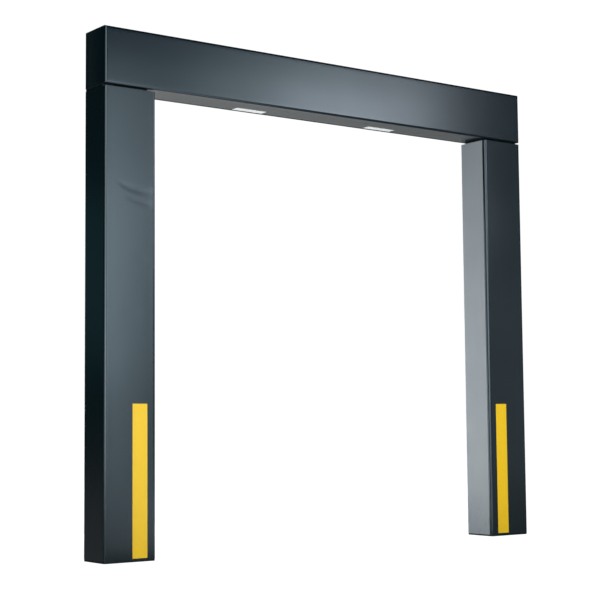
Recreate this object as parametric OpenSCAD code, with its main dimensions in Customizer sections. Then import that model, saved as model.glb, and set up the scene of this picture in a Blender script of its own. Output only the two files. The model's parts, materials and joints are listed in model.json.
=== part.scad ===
// Walk-through security gate: two floor-fixed columns with antennas, joined by an
// overhead beam with two signal lamps. Origin on the floor, midway between the
// columns; X runs across the passage, -Y is the front, +Z is up.

/* [Gate] */
// Overall width over both columns
gate_w = 2560; // [2200:10:3000]
// Overall height above the floor
gate_h = 2370; // [2250:10:2600]
// Visible gap between each column and the beam
shadow_gap = 10; // [6:1:16]
// Outer radius of the rounded casing and cover edges
edge_r = 12; // [11:0.5:13]
// Sheet thickness of the steel casings and covers
sheet_t = 2; // [1.5:0.25:2]

/* [Columns] */
// Width of each column, across the passage
column_w = 260; // [250:1:280]
// Depth of each column, along the walking direction
column_d = 189; // [189:1:195]
// Thickness of the floor plate and of the top plate
plate_t = 8; // [6:1:10]
// Side of the square steel uprights
tube_w = 40; // [30:1:40]
// Wall of the square steel uprights
tube_t = 3; // [2:0.5:4]

/* [Floor anchors] */
// Anchor hole spacing across the passage
anchor_dx = 140; // [130:1:144]
// Anchor hole spacing along the walking direction
anchor_dy = 124; // [110:1:130]
// Anchor hole diameter, for M12 anchors
anchor_d = 14; // [12:0.5:16]

/* [Beam] */
// Height of the beam
beam_h = 262; // [250:1:300]
// Depth of the beam
beam_d = 190; // [190:1:196]
// Depth of the front cover, which wraps round both ends
front_cover_d = 145; // [130:1:150]

/* [Signal lamps] */
// Distance of each lamp from the middle of the passage
lamp_x = 406; // [330:1:460]
// Length of each lamp window
lamp_l = 174; // [120:1:180]
// Width of each lamp window
lamp_w = 48; // [40:1:48]
// Distance of the lamp window from the front of the beam
lamp_inset = 120; // [118:1:120]

/* [Marker strips] */
// Width of the yellow marker strip on each column
strip_w = 75; // [40:1:100]
// Height of the top of the marker strip above the floor
strip_top = 690; // [400:1:1200]
// Distance of the marker strip from the passage edge of the column
strip_inset = 44; // [20:1:60]

/* [Service doors] */
// Width of the opening behind each service door
door_w = 160; // [150:1:162]
// Height of the opening behind each service door
door_h = 700; // [680:1:720]
// Height of the lower edge of the door opening above the floor
door_z = 90; // [80:1:100]
// Gap round each service door
door_gap = 1.5; // [1.2:0.1:1.5]

/* [Hidden] */
$fn = 48;

LEFT = -1;
RIGHT = 1;

// Colours
PAINT = [0.17, 0.20, 0.23];
PLASTIC = [0.42, 0.45, 0.47];
BLACK = [0.06, 0.06, 0.07];
STEEL = [0.62, 0.64, 0.66];
YELLOW = [0.95, 0.79, 0.20];
LAMP = [0.95, 0.96, 0.97];
WHITE = [0.88, 0.88, 0.86];
RED = [0.75, 0.10, 0.08];

// Heights
column_top = gate_h - beam_h - shadow_gap;
beam_z = gate_h - beam_h;
top_plate_z = column_top - plate_t;
underside_recess = 2;
underside_z = beam_z + underside_recess;
underside_top = underside_z + sheet_t;
neck_top = beam_z + 15;
chassis_z = neck_top + plate_t;

// Column faces, along Y
front_y = -column_d / 2;
rear_y = column_d / 2;
panel_rear_y = rear_y - 7.5;
panel_front_y = panel_rear_y - sheet_t;
flange_y = front_y + edge_r + 6;
seam = 2;
cover_t = 3;
rear_flange_u = edge_r + 12;

// Steel mast inside each column
tube_u = 4;
tube_y = panel_front_y - tube_w;
rail_zs = [160, 720, 990, 1640, 2000];
arm_zs = [990, 1640];
arm_w = 20;
arm_pad = 60;
arm_pad_t = 4;
antenna_u = column_w - 26;
antenna_t = 20;
antenna_w = 120;
antenna_h = 280;
antenna_corner_r = 12;
beam_antenna_size = [300, 120, 16];
cable_hole_d = 50;
grommet_bore_d = 24;
grommet_rim = 5;
grommet_rim_h = 3;
anchor_u = 150;
trunk_u = 175;
trunk_y = -53;
trunk_d = 10;
trunk_hole_d = 18;

// Neck between column and beam
neck_inset = 30;
neck_y = 65;
neck_t = 4;
spacer_u = 4;
spacer_rear_y = 90;
neck_bolt_us = [tube_u + tube_w + 12, 200];
neck_bolt_y = 52;
bolt_d = 10;
bolt_hole_d = 11;
bolt_head_h = 7;
bolt_tip = 6;
nut_h = 8;
hex_d = 19.6;

// Service door, hinge and lock
door_u = 62;
door_depth = 14;
door_skin = 2;
hinge_u = door_u - 4;
hinge_y = rear_y - 3.5;
hinge_h = 60;
hinge_zs = [door_z + 100, door_z + door_h - 100];
knuckle_r = 3.5;
pin_r = 1.5;
pin_clear = 0.05;
leaf_w = 20;
leaf_t = 1.5;
axial_gap = 0.3;
lock_u = door_u + door_w - 18;
lock_z = door_z + door_h / 2;
lock_housing_r = 8;
lock_core_r = 5;
lock_clear = 0.05;
cam_t = 3;
cam_l = 30;
cam_w = 14;
cam_y = panel_rear_y - door_depth - axial_gap - cam_t;
lock_head_t = 2.5;
lock_nut_t = 4;
key_slot = [1.8, 4, 6.4];

// Cover screws
screw_r = 2.4;
screw_hole_r = 2.6;
screw_head_r = 5;
panel_screw_head_h = 2.6;
beam_screw_head_h = 1.6;
beam_screw_l = 14;
socket_r = 2.2;
socket_depth = 1.4;
panel_screw_u = 33;
panel_screw_zs = [60, 440, 860, 1260, 1660, 2060];

// Beam frame
chassis_w = 80;
chassis_h = 100;
chassis_t = 4;
chassis_end = 30;
rib_xs = [-1000, -600, -200, 200, 600, 1000];
rib_t = 3;
rib_tab_w = 20;
rib_tab_t = 3;
rib_window_y = 65;
rib_window_rim = 25;
beam_screw_zs = [beam_z + 55, beam_z + 205];
underside_front = -beam_d / 2 + edge_r + 8;
underside_back = beam_d / 2 - edge_r - 2;
underside_end = edge_r + 6;
panel_gap = 2;

// Signal lamps
lamp_y = -beam_d / 2 + lamp_inset;
lens_gap = 0.3;
lens_flange = 4;
lens_t = 3;
lamp_module_h = 14;
led_n = 8;
led_r = 4;
led_h = 3;
led_margin = 10;
module_wall = 2;
module_roof = 3;
buzzer_x = 265;
buzzer_y = -20;
buzzer_r = 24;
buzzer_h = 15;
buzzer_terminal_x = 6;
sound_hole_n = 6;
sound_hole_r = 2;
sound_hole_pitch_r = 9;

// Equipment
equip_t = 3;
equip_u = [tube_u + tube_w, column_w - 14];
equip_z = [130, 760];
dinrail_z = 560;
dinrail_u = [60, 220];
dinrail_d = 7.5;
dinrail_t = 1;
dinrail_half_web = 13;
dinrail_half_w = 17.5;
psu_u = [66, 126];
psu_z = [500, 620];
psu_d = 60;
psu_slot_n = 7;
psu_slot_w = 3;
psu_slot_pitch = 6.5;
psu_slot_margin = [8, 20];
terminal_u = [140, 206];
terminal_z = [535, 585];
terminal_d = 35;
terminal_n = 8;
terminal_slot_w = 1;
terminal_slot_d = 6;
terminal_screw_inset = 8;
terminal_screw_r = 2;
isolator_u = 120;
isolator_z = 300;
isolator_w = 60;
isolator_d = 50;
knob_r = 22;
knob_disc_t = 6;
knob_t = 20;
knob_grip_half_w = 5;
knob_shaft_r = 4;
knob_shaft_l = 19;
reader_u = [70, 210];
reader_z = [360, 560];
reader_d = 36;
reader_fins = 11;
fin_t = 2;
fin_h = 10;
fin_margin = [10, 10, 30];
reader_port_n = 4;
reader_port_r = 4;
reader_port_l = 10;
reader_port_y = 15;
trunk_bend = 30;
trunk_cross_z = 830;
trunk_beam_z = chassis_z + 37;
trunk_start_y = 30;

// ---------------------------------------------------------------- helpers

// X of a point that lies u inside the outer face of the right-hand column
function ux(u) = gate_w / 2 - u;

// X range between two such points
function u_span(a, b) = [ux(b), ux(a)];

// Places a part drawn for the right-hand side on either side
module on_side(side) {
    if (side == LEFT) mirror([1, 0, 0]) children();
    else children();
}

// Box and rectangle between [low, high] limits
module span_box(x, y, z) {
    translate([x[0], y[0], z[0]])
        cube([x[1] - x[0], y[1] - y[0], z[1] - z[0]]);
}

module span_rect(x, y) {
    translate([x[0], y[0]])
        square([x[1] - x[0], y[1] - y[0]]);
}

// Rectangle with round corners
module rounded_rect(x, y, r) {
    span_rect([x[0] + r, x[1] - r], y);
    span_rect(x, [y[0] + r, y[1] - r]);
    for (cx = [x[0] + r, x[1] - r], cy = [y[0] + r, y[1] - r])
        translate([cx, cy]) circle(r = r);
}

// Upright prism of a plan outline
module prism_z(z) {
    translate([0, 0, z[0]])
        linear_extrude(z[1] - z[0]) children();
}

// Prism along X of an outline drawn in Y and Z
module prism_x(x) {
    translate([x[0], 0, 0])
        rotate([90, 0, 90])
            linear_extrude(x[1] - x[0]) children();
}

// Prism along Y of an outline drawn in X and Z
module prism_y(y) {
    translate([0, y[1], 0])
        rotate([90, 0, 0])
            linear_extrude(y[1] - y[0]) children();
}

// Round bar along Y from y[0] to y[1]
module bar_y(x, z, y, r) {
    translate([x, y[1], z])
        rotate([90, 0, 0]) cylinder(h = y[1] - y[0], r = r);
}

// Hexagonal bar along Y
module hex_y(x, z, y, r) {
    translate([x, y[1], z])
        rotate([90, 0, 0]) cylinder(h = y[1] - y[0], r = r, $fn = 6);
}

// ------------------------------------------------------------ column frame

module column_outline(inset) {
    rounded_rect(
        u_span(inset, column_w - inset),
        [front_y + inset, rear_y - inset],
        edge_r - inset
    );
}

module base_plate(side) {
    color(BLACK) on_side(side) difference() {
        prism_z([0, plate_t]) column_outline(1);
        for (dx = [-anchor_dx / 2, anchor_dx / 2], dy = [-anchor_dy / 2, anchor_dy / 2])
            translate([ux(anchor_u) + dx, dy, -1])
                cylinder(h = plate_t + 2, d = anchor_d);
        translate([ux(anchor_u), 0, -1])
            cylinder(h = plate_t + 2, d = cable_hole_d);
    }
}

module square_tube_outline(x, y) {
    difference() {
        span_rect(x, y);
        span_rect([x[0] + tube_t, x[1] - tube_t], [y[0] + tube_t, y[1] - tube_t]);
    }
}

module upright(side, y) {
    color(STEEL) on_side(side)
        prism_z([plate_t, top_plate_z])
            square_tube_outline(u_span(tube_u, tube_u + tube_w), y);
}

module front_upright(side) {
    upright(side, [-tube_y - tube_w, -tube_y]);
}

module rear_upright(side) {
    difference() {
        upright(side, [tube_y, tube_y + tube_w]);
        on_side(side)
            for (z = panel_screw_zs)
                bar_y(
                    ux(panel_screw_u),
                    z,
                    [panel_front_y - tube_t - 1, panel_front_y + 1],
                    screw_hole_r
                );
    }
}

// Horizontal tube between the two uprights
module cross_rail(z) {
    prism_y([-tube_y, tube_y])
        square_tube_outline(
            u_span(tube_u, tube_u + tube_w),
            [z - tube_w / 2, z + tube_w / 2]
        );
}

// Arm that reaches from a cross rail to an antenna
module antenna_arm(z) {
    span_box(
        u_span(tube_u + tube_w, antenna_u - arm_pad_t),
        [-arm_w / 2, arm_w / 2],
        [z - arm_w / 2, z + arm_w / 2]
    );
    span_box(
        u_span(antenna_u - arm_pad_t, antenna_u),
        [-arm_pad / 2, arm_pad / 2],
        [z - arm_pad / 2, z + arm_pad / 2]
    );
}

module cross_rails(side) {
    color(STEEL) on_side(side) {
        for (z = rail_zs) cross_rail(z);
        for (z = arm_zs) antenna_arm(z);
    }
}

module neck_bolt_places() {
    for (u = neck_bolt_us, y = [-neck_bolt_y, neck_bolt_y])
        translate([ux(u), y, 0]) children();
}

module top_plate(side) {
    color(STEEL) on_side(side) difference() {
        prism_z([top_plate_z, column_top]) intersection() {
            column_outline(4);
            span_rect(u_span(0, column_w), [front_y, panel_front_y]);
        }
        neck_bolt_places()
            translate([0, 0, top_plate_z - 1])
                cylinder(h = plate_t + 2, d = bolt_hole_d);
        translate([ux(trunk_u), trunk_y, top_plate_z - 1])
            cylinder(h = plate_t + 2, d = trunk_hole_d);
    }
}

module cable_grommet() {
    rotate_extrude() {
        span_rect([grommet_bore_d / 2, cable_hole_d / 2 - 0.2], [1, plate_t]);
        span_rect(
            [grommet_bore_d / 2, cable_hole_d / 2 + grommet_rim],
            [plate_t, plate_t + grommet_rim_h]
        );
    }
}

module cable_grommets() {
    color(BLACK) for (side = [LEFT, RIGHT])
        translate([side * ux(anchor_u), 0, 0]) cable_grommet();
}

// ----------------------------------------------------------- column covers

// Folded sheet: rear flange, outer side, front, and a short flange on the passage side
module casing(side) {
    color(PAINT) on_side(side) prism_z([plate_t, column_top]) {
        difference() {
            column_outline(0);
            column_outline(sheet_t);
            span_rect(u_span(column_w - edge_r, column_w + 1), [flange_y, rear_y + 1]);
            span_rect(u_span(rear_flange_u, column_w + 1), [0, rear_y + 1]);
        }
        span_rect(u_span(rear_flange_u - sheet_t, rear_flange_u), [panel_rear_y, rear_y]);
    }
}

// Moulded panel on the passage side, with a rounded rear edge
module antenna_cover(side) {
    return_u = column_w - rear_flange_u;
    color(PLASTIC) on_side(side) prism_z([plate_t, column_top]) {
        intersection() {
            difference() {
                column_outline(0);
                column_outline(cover_t);
            }
            union() {
                span_rect(u_span(column_w - edge_r, column_w), [flange_y + seam, rear_y]);
                span_rect(u_span(return_u, column_w), [0, rear_y]);
            }
        }
        span_rect(u_span(return_u, return_u + cover_t), [panel_rear_y, rear_y]);
    }
}

module rear_panel(side) {
    panel_y = [panel_front_y, panel_rear_y];
    color(PAINT) on_side(side) {
        difference() {
            span_box(u_span(8, column_w - 8), panel_y, [plate_t, top_plate_z]);
            span_box(
                u_span(door_u, door_u + door_w),
                [panel_front_y - 1, panel_rear_y + 1],
                [door_z, door_z + door_h]
            );
            for (z = panel_screw_zs)
                bar_y(ux(panel_screw_u), z, [panel_front_y - 1, panel_rear_y + 1], screw_hole_r);
        }
        // Inward lip that the lock cam catches
        span_box(
            u_span(door_u + door_w, door_u + door_w + sheet_t),
            [panel_rear_y - door_depth, panel_rear_y],
            [door_z, door_z + door_h]
        );
    }
}

module panel_screw(z) {
    head_y = panel_rear_y + panel_screw_head_h;
    difference() {
        union() {
            bar_y(ux(panel_screw_u), z, [panel_rear_y, head_y], screw_head_r);
            bar_y(ux(panel_screw_u), z, [panel_front_y - tube_t - 6, panel_rear_y], screw_r);
        }
        hex_y(ux(panel_screw_u), z, [head_y - socket_depth, head_y + 1], socket_r);
    }
}

module panel_screws(side) {
    color(STEEL) on_side(side)
        for (z = panel_screw_zs) panel_screw(z);
}

module marker_strip(side) {
    strip_u = column_w - strip_inset - strip_w;
    color(YELLOW) on_side(side)
        span_box(
            u_span(strip_u, strip_u + strip_w),
            [-beam_d / 2, front_y],
            [plate_t + 7, strip_top]
        );
}

// ---------------------------------------------------- service door and lock

module knuckle(z) {
    translate([ux(hinge_u), hinge_y, z[0]])
        cylinder(h = z[1] - z[0], r = knuckle_r);
}

module knuckle_bore(z) {
    translate([ux(hinge_u), hinge_y, z[0]])
        cylinder(h = z[1] - z[0], r = pin_r + pin_clear);
}

// Middle knuckle range of the hinge centred at height z
function mid_knuckle(z) = [z - hinge_h / 6, z + hinge_h / 6];

// Outer knuckle ranges of the same hinge
function end_knuckles(z) = [
    [z - hinge_h / 2, z - hinge_h / 6 - axial_gap],
    [z + hinge_h / 6 + axial_gap, z + hinge_h / 2]
];

// Raised leaf on the door, with the middle knuckle
module door_leaf(z) {
    edge_u = door_u + door_gap;
    leaf_y = [panel_rear_y + axial_gap, panel_rear_y + axial_gap + leaf_t];
    difference() {
        union() {
            knuckle(mid_knuckle(z));
            span_box(u_span(hinge_u, edge_u), leaf_y, mid_knuckle(z));
            span_box(
                u_span(edge_u, edge_u + leaf_w),
                [panel_rear_y - 1, leaf_y[1]],
                [z - hinge_h / 2, z + hinge_h / 2]
            );
        }
        knuckle_bore([z - hinge_h, z + hinge_h]);
    }
}

module service_door(side) {
    door_span = u_span(door_u + door_gap, door_u + door_w - door_gap);
    door_height = [door_z + door_gap, door_z + door_h - door_gap];
    color(PAINT) on_side(side) {
        difference() {
            span_box(door_span, [panel_rear_y - door_depth, panel_rear_y], door_height);
            span_box(
                [door_span[0] + door_skin, door_span[1] - door_skin],
                [panel_rear_y - door_depth - 1, panel_rear_y - door_skin],
                [door_height[0] + door_skin, door_height[1] - door_skin]
            );
            bar_y(ux(lock_u), lock_z, [cam_y, rear_y], lock_housing_r + 0.1);
        }
        for (z = hinge_zs) door_leaf(z);
    }
}

// Raised leaf on the rear panel, with the two outer knuckles
module frame_leaf(z) {
    leaf_y = [panel_rear_y, panel_rear_y + leaf_t];
    difference() {
        union() {
            span_box(
                u_span(hinge_u - leaf_w, hinge_u - knuckle_r - 0.5),
                leaf_y,
                [z - hinge_h / 2, z + hinge_h / 2]
            );
            for (k = end_knuckles(z)) {
                knuckle(k);
                span_box(u_span(hinge_u - knuckle_r - 1, hinge_u), leaf_y, k);
            }
        }
        knuckle_bore([z - hinge_h, z + hinge_h]);
    }
}

module hinge_leaves(side) {
    color(STEEL) on_side(side)
        for (z = hinge_zs) frame_leaf(z);
}

module hinge_pin(z) {
    translate([ux(hinge_u), hinge_y, z - hinge_h / 2])
        cylinder(h = hinge_h, r = pin_r);
    for (end_z = [z - hinge_h / 2 - 1, z + hinge_h / 2])
        translate([ux(hinge_u), hinge_y, end_z])
            cylinder(h = 1, r = pin_r + 1);
}

module hinge_pins(side) {
    color(STEEL) on_side(side)
        for (z = hinge_zs) hinge_pin(z);
}

module lock_housing(side) {
    inner_y = panel_rear_y - door_depth;
    color(STEEL) on_side(side) difference() {
        union() {
            bar_y(ux(lock_u), lock_z, [inner_y, panel_rear_y], lock_housing_r);
            bar_y(ux(lock_u), lock_z, [panel_rear_y, panel_rear_y + lock_head_t], lock_housing_r + 3);
            hex_y(
                ux(lock_u),
                lock_z,
                [panel_rear_y - door_skin - lock_nut_t, panel_rear_y - door_skin],
                lock_housing_r + 4
            );
        }
        bar_y(ux(lock_u), lock_z, [inner_y - 1, rear_y], lock_core_r + lock_clear);
    }
}

// Lock core with its cam, drawn unlocked: the cam points up
module lock_cam(side) {
    core_end = panel_rear_y + lock_head_t;
    color(STEEL) on_side(side) difference() {
        union() {
            bar_y(ux(lock_u), lock_z, [cam_y, core_end], lock_core_r);
            span_box(
                [ux(lock_u) - cam_w / 2, ux(lock_u) + cam_w / 2],
                [cam_y, cam_y + cam_t],
                [lock_z - cam_w / 2, lock_z + cam_l]
            );
        }
        span_box(
            [ux(lock_u) - key_slot[0] / 2, ux(lock_u) + key_slot[0] / 2],
            [core_end - key_slot[1], core_end + 1],
            [lock_z - key_slot[2] / 2, lock_z + key_slot[2] / 2]
        );
    }
}

// ---------------------------------------------------------------- antennas

module antenna(side, z) {
    color(WHITE) on_side(side)
        prism_x(u_span(antenna_u, antenna_u + antenna_t))
            rounded_rect(
                [-antenna_w / 2, antenna_w / 2],
                [z - antenna_h / 2, z + antenna_h / 2],
                antenna_corner_r
            );
}

module lower_antenna(side) {
    antenna(side, arm_zs[0]);
}

module upper_antenna(side) {
    antenna(side, arm_zs[1]);
}

module beam_antenna() {
    half = beam_antenna_size / 2;
    color(WHITE) prism_z([underside_top, underside_top + beam_antenna_size[2]])
        rounded_rect([-half[0], half[0]], [-half[1], half[1]], antenna_corner_r);
}

// -------------------------------------------------------------------- beam

// Rectangular tube through the underside panel, on a spacer that fills the back of the gap
module neck(side) {
    neck_span = u_span(neck_inset, column_w - neck_inset);
    color(BLACK) on_side(side) difference() {
        union() {
            span_box(neck_span, [-neck_y, neck_y], [column_top, neck_top]);
            span_box(
                u_span(spacer_u, column_w - neck_inset),
                [-neck_y, spacer_rear_y],
                [column_top, beam_z]
            );
        }
        span_box(
            [neck_span[0] + neck_t, neck_span[1] - neck_t],
            [-neck_y + neck_t, neck_y - neck_t],
            [column_top - 1, neck_top + 1]
        );
    }
}

// Bolt with its head on the beam foot and its nut under the column top plate
module neck_bolt() {
    nut_z = top_plate_z - nut_h;
    translate([0, 0, chassis_z]) cylinder(h = bolt_head_h, d = hex_d, $fn = 6);
    translate([0, 0, nut_z - bolt_tip])
        cylinder(h = chassis_z - nut_z + bolt_tip, d = bolt_d);
    translate([0, 0, nut_z]) cylinder(h = nut_h, d = hex_d, $fn = 6);
}

module neck_bolts(side) {
    color(STEEL) on_side(side) neck_bolt_places() neck_bolt();
}

// Foot plate of the chassis on one neck
module chassis_foot() {
    difference() {
        span_box(
            u_span(neck_inset, column_w - neck_inset),
            [-neck_y, neck_y],
            [neck_top, chassis_z]
        );
        neck_bolt_places()
            translate([0, 0, neck_top - 1])
                cylinder(h = plate_t + 2, d = bolt_hole_d);
        translate([ux(trunk_u), trunk_y, neck_top - 1])
            cylinder(h = plate_t + 2, d = trunk_hole_d);
    }
}

module beam_chassis() {
    half_l = gate_w / 2 - chassis_end;
    color(STEEL) {
        prism_x([-half_l, half_l]) difference() {
            span_rect([-chassis_w / 2, chassis_w / 2], [chassis_z, chassis_z + chassis_h]);
            span_rect(
                [-chassis_w / 2 + chassis_t, chassis_w / 2 - chassis_t],
                [chassis_z + chassis_t, chassis_z + chassis_h - chassis_t]
            );
        }
        for (side = [LEFT, RIGHT]) on_side(side) chassis_foot();
    }
}

// Bulkhead that carries the covers, with a tab for the rear cover screws
module beam_rib(x) {
    skin_y = beam_d / 2 - sheet_t;
    roof_z = gate_h - sheet_t;
    difference() {
        prism_x([x - rib_t / 2, x + rib_t / 2]) difference() {
            rounded_rect([-skin_y, skin_y], [underside_top, roof_z], edge_r);
            span_rect([-chassis_w / 2, chassis_w / 2], [chassis_z, chassis_z + chassis_h]);
            span_rect(
                [-rib_window_y, rib_window_y],
                [chassis_z + chassis_h + rib_window_rim, roof_z - rib_window_rim]
            );
        }
        translate([x - rib_t, trunk_y, trunk_beam_z])
            rotate([0, 90, 0]) cylinder(h = 2 * rib_t, d = trunk_hole_d);
    }
    difference() {
        span_box(
            [x - rib_tab_w / 2, x + rib_tab_w / 2],
            [skin_y - rib_tab_t, skin_y],
            [beam_screw_zs[0] - 15, beam_screw_zs[1] + 15]
        );
        for (z = beam_screw_zs)
            bar_y(x + rib_tab_w / 4, z, [skin_y - rib_tab_t - 1, skin_y + 1], screw_hole_r);
    }
}

module beam_ribs() {
    color(STEEL) for (x = rib_xs) beam_rib(x);
}

// Block whose long and upright edges are rounded and meet in mitred corners
module beam_block(inset) {
    x = [-gate_w / 2 + inset, gate_w / 2 - inset];
    y = [-beam_d / 2 + inset, beam_d / 2 - inset];
    z = [beam_z + inset, gate_h - inset];
    r = edge_r - inset;
    intersection() {
        prism_z(z) rounded_rect(x, y, r);
        prism_x(x) rounded_rect(y, z, r);
    }
}

// Hollow beam shell, open below for the underside panel
module beam_shell() {
    half_l = gate_w / 2 - underside_end + panel_gap;
    difference() {
        beam_block(0);
        beam_block(sheet_t);
        span_box(
            [-half_l, half_l],
            [underside_front - panel_gap, underside_back + panel_gap],
            [beam_z - 1, beam_z + sheet_t + 1]
        );
    }
}

module beam_front_cover() {
    split_y = -beam_d / 2 + front_cover_d;
    color(PAINT) intersection() {
        beam_shell();
        span_box([-gate_w, gate_w], [-beam_d, split_y], [0, 2 * gate_h]);
    }
}

module beam_rear_cover() {
    split_y = -beam_d / 2 + front_cover_d + 1;
    color(PAINT) difference() {
        intersection() {
            beam_shell();
            span_box([-gate_w, gate_w], [split_y, beam_d], [0, 2 * gate_h]);
        }
        for (x = rib_xs, z = beam_screw_zs)
            bar_y(x + rib_tab_w / 4, z, [beam_d / 2 - sheet_t - 1, beam_d / 2 + 1], screw_head_r + 0.3);
    }
}

module beam_screw(x, z) {
    skin_y = beam_d / 2 - sheet_t;
    head_y = skin_y + beam_screw_head_h;
    difference() {
        union() {
            bar_y(x, z, [skin_y, head_y], screw_head_r);
            bar_y(x, z, [skin_y - beam_screw_l, skin_y], screw_r);
        }
        hex_y(x, z, [head_y - socket_depth, head_y + 1], socket_r);
    }
}

module beam_screws() {
    color(STEEL) for (x = rib_xs, z = beam_screw_zs)
        beam_screw(x + rib_tab_w / 4, z);
}

// Sound holes below the buzzer
module buzzer_holes() {
    for (i = [0:sound_hole_n - 1])
        rotate([0, 0, 360 / sound_hole_n * i])
            translate([sound_hole_pitch_r, 0, underside_z - 1])
                cylinder(h = sheet_t + 2, r = sound_hole_r);
    translate([0, 0, underside_z - 1]) cylinder(h = sheet_t + 2, r = sound_hole_r);
}

module beam_underside() {
    half_l = gate_w / 2 - underside_end;
    neck_gap = 2;
    color(PAINT) difference() {
        span_box([-half_l, half_l], [underside_front, underside_back], [underside_z, underside_top]);
        for (side = [LEFT, RIGHT]) {
            on_side(side) span_box(
                u_span(neck_inset - neck_gap, column_w - neck_inset + neck_gap),
                [-neck_y - neck_gap, neck_y + neck_gap],
                [underside_z - 1, underside_top + 1]
            );
            span_box(
                [side * lamp_x - lamp_l / 2, side * lamp_x + lamp_l / 2],
                [lamp_y, lamp_y + lamp_w],
                [underside_z - 1, underside_top + 1]
            );
        }
        translate([buzzer_x, buzzer_y, 0]) buzzer_holes();
    }
}

module buzzer() {
    color(BLACK) translate([buzzer_x, buzzer_y, underside_top]) {
        cylinder(h = buzzer_h, r = buzzer_r);
        for (dx = [-buzzer_terminal_x, buzzer_terminal_x])
            translate([dx, 0, buzzer_h]) cylinder(h = 3, r = 1);
    }
}

module lamp_lens(side) {
    x = [side * lamp_x - lamp_l / 2, side * lamp_x + lamp_l / 2];
    color(LAMP) {
        span_box(
            [x[0] + lens_gap, x[1] - lens_gap],
            [lamp_y + lens_gap, lamp_y + lamp_w - lens_gap],
            [underside_z, underside_top]
        );
        span_box(
            [x[0] - lens_flange, x[1] + lens_flange],
            [lamp_y - lens_flange, lamp_y + lamp_w + lens_flange],
            [underside_top, underside_top + lens_t]
        );
    }
}

// Tray with a row of light-emitting diodes over the lens
module lamp_module(side) {
    z = [underside_top + lens_t, underside_top + lens_t + lamp_module_h];
    x = [side * lamp_x - lamp_l / 2 - lens_flange, side * lamp_x + lamp_l / 2 + lens_flange];
    y = [lamp_y - lens_flange, lamp_y + lamp_w + lens_flange];
    first_led_x = side * lamp_x - lamp_l / 2 + led_margin;
    pitch = (lamp_l - 2 * led_margin) / (led_n - 1);
    color(STEEL) {
        difference() {
            span_box(x, y, z);
            span_box(
                [x[0] + module_wall, x[1] - module_wall],
                [y[0] + module_wall, y[1] - module_wall],
                [z[0] - 1, z[1] - module_roof]
            );
        }
        for (i = [0:led_n - 1])
            translate([first_led_x + i * pitch, (y[0] + y[1]) / 2, z[1] - module_roof - led_h + 1])
                cylinder(h = led_h, r = led_r);
    }
}

// --------------------------------------------------------------- equipment

module equipment_plate(side) {
    color(STEEL) on_side(side)
        span_box(u_span(equip_u[0], equip_u[1]), [-equip_t / 2, equip_t / 2], equip_z);
    if (side == LEFT)
        color(STEEL) on_side(side) mounting_rail();
}

// Top-hat rail on the left equipment plate
module mounting_rail() {
    y = [equip_t / 2, equip_t / 2 + dinrail_d];
    prism_x(u_span(dinrail_u[0], dinrail_u[1])) {
        span_rect(
            [y[0], y[0] + dinrail_t],
            [dinrail_z - dinrail_half_web, dinrail_z + dinrail_half_web]
        );
        for (z = [-dinrail_half_web, dinrail_half_web - dinrail_t])
            span_rect(y, [dinrail_z + z, dinrail_z + z + dinrail_t]);
        for (z = [-dinrail_half_w, dinrail_half_web - dinrail_t])
            span_rect(
                [y[1] - dinrail_t, y[1]],
                [dinrail_z + z, dinrail_z + z + dinrail_half_w - dinrail_half_web + dinrail_t]
            );
    }
}

module power_supply() {
    y = [equip_t / 2 + dinrail_d, equip_t / 2 + dinrail_d + psu_d];
    first_slot_u = psu_u[0] + psu_slot_margin[0];
    color(STEEL) on_side(LEFT) difference() {
        span_box(u_span(psu_u[0], psu_u[1]), y, psu_z);
        for (u = [for (i = [0:psu_slot_n - 1]) first_slot_u + i * psu_slot_pitch])
            span_box(
                u_span(u, u + psu_slot_w),
                [y[1] - 2, y[1] + 1],
                [psu_z[0] + psu_slot_margin[1], psu_z[1] - psu_slot_margin[1]]
            );
    }
}

module terminal_block() {
    y = [equip_t / 2 + dinrail_d, equip_t / 2 + dinrail_d + terminal_d];
    pitch = (terminal_u[1] - terminal_u[0]) / terminal_n;
    color(PLASTIC) on_side(LEFT) difference() {
        span_box(u_span(terminal_u[0], terminal_u[1]), y, terminal_z);
        for (i = [1:terminal_n - 1])
            span_box(
                u_span(
                    terminal_u[0] + i * pitch - terminal_slot_w / 2,
                    terminal_u[0] + i * pitch + terminal_slot_w / 2
                ),
                [y[1] - terminal_slot_d, y[1] + 1],
                [terminal_z[0] - 1, terminal_z[1] + 1]
            );
        for (i = [0:terminal_n - 1], end = [0, 1])
            bar_y(
                ux(terminal_u[0] + (i + 0.5) * pitch),
                terminal_z[end] + (1 - 2 * end) * terminal_screw_inset,
                [y[1] - terminal_slot_d + 2, y[1] + 1],
                terminal_screw_r
            );
    }
}

module isolator_body() {
    y = [equip_t / 2, equip_t / 2 + isolator_d];
    half_w = isolator_w / 2;
    color(PLASTIC) on_side(LEFT) difference() {
        span_box(
            [ux(isolator_u) - half_w, ux(isolator_u) + half_w],
            y,
            [isolator_z - half_w, isolator_z + half_w]
        );
        bar_y(ux(isolator_u), isolator_z, [y[1] - knob_shaft_l - 1, y[1] + 1], knob_shaft_r + pin_clear);
    }
}

// Rotary handle of the isolator, drawn switched off
module isolator_knob() {
    face_y = equip_t / 2 + isolator_d + axial_gap;
    color(RED) on_side(LEFT) {
        bar_y(ux(isolator_u), isolator_z, [face_y - knob_shaft_l, face_y], knob_shaft_r);
        bar_y(ux(isolator_u), isolator_z, [face_y, face_y + knob_disc_t], knob_r);
        span_box(
            [ux(isolator_u) - knob_r + 2, ux(isolator_u) + knob_r - 2],
            [face_y + knob_disc_t, face_y + knob_t],
            [isolator_z - knob_grip_half_w, isolator_z + knob_grip_half_w]
        );
    }
}

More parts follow.
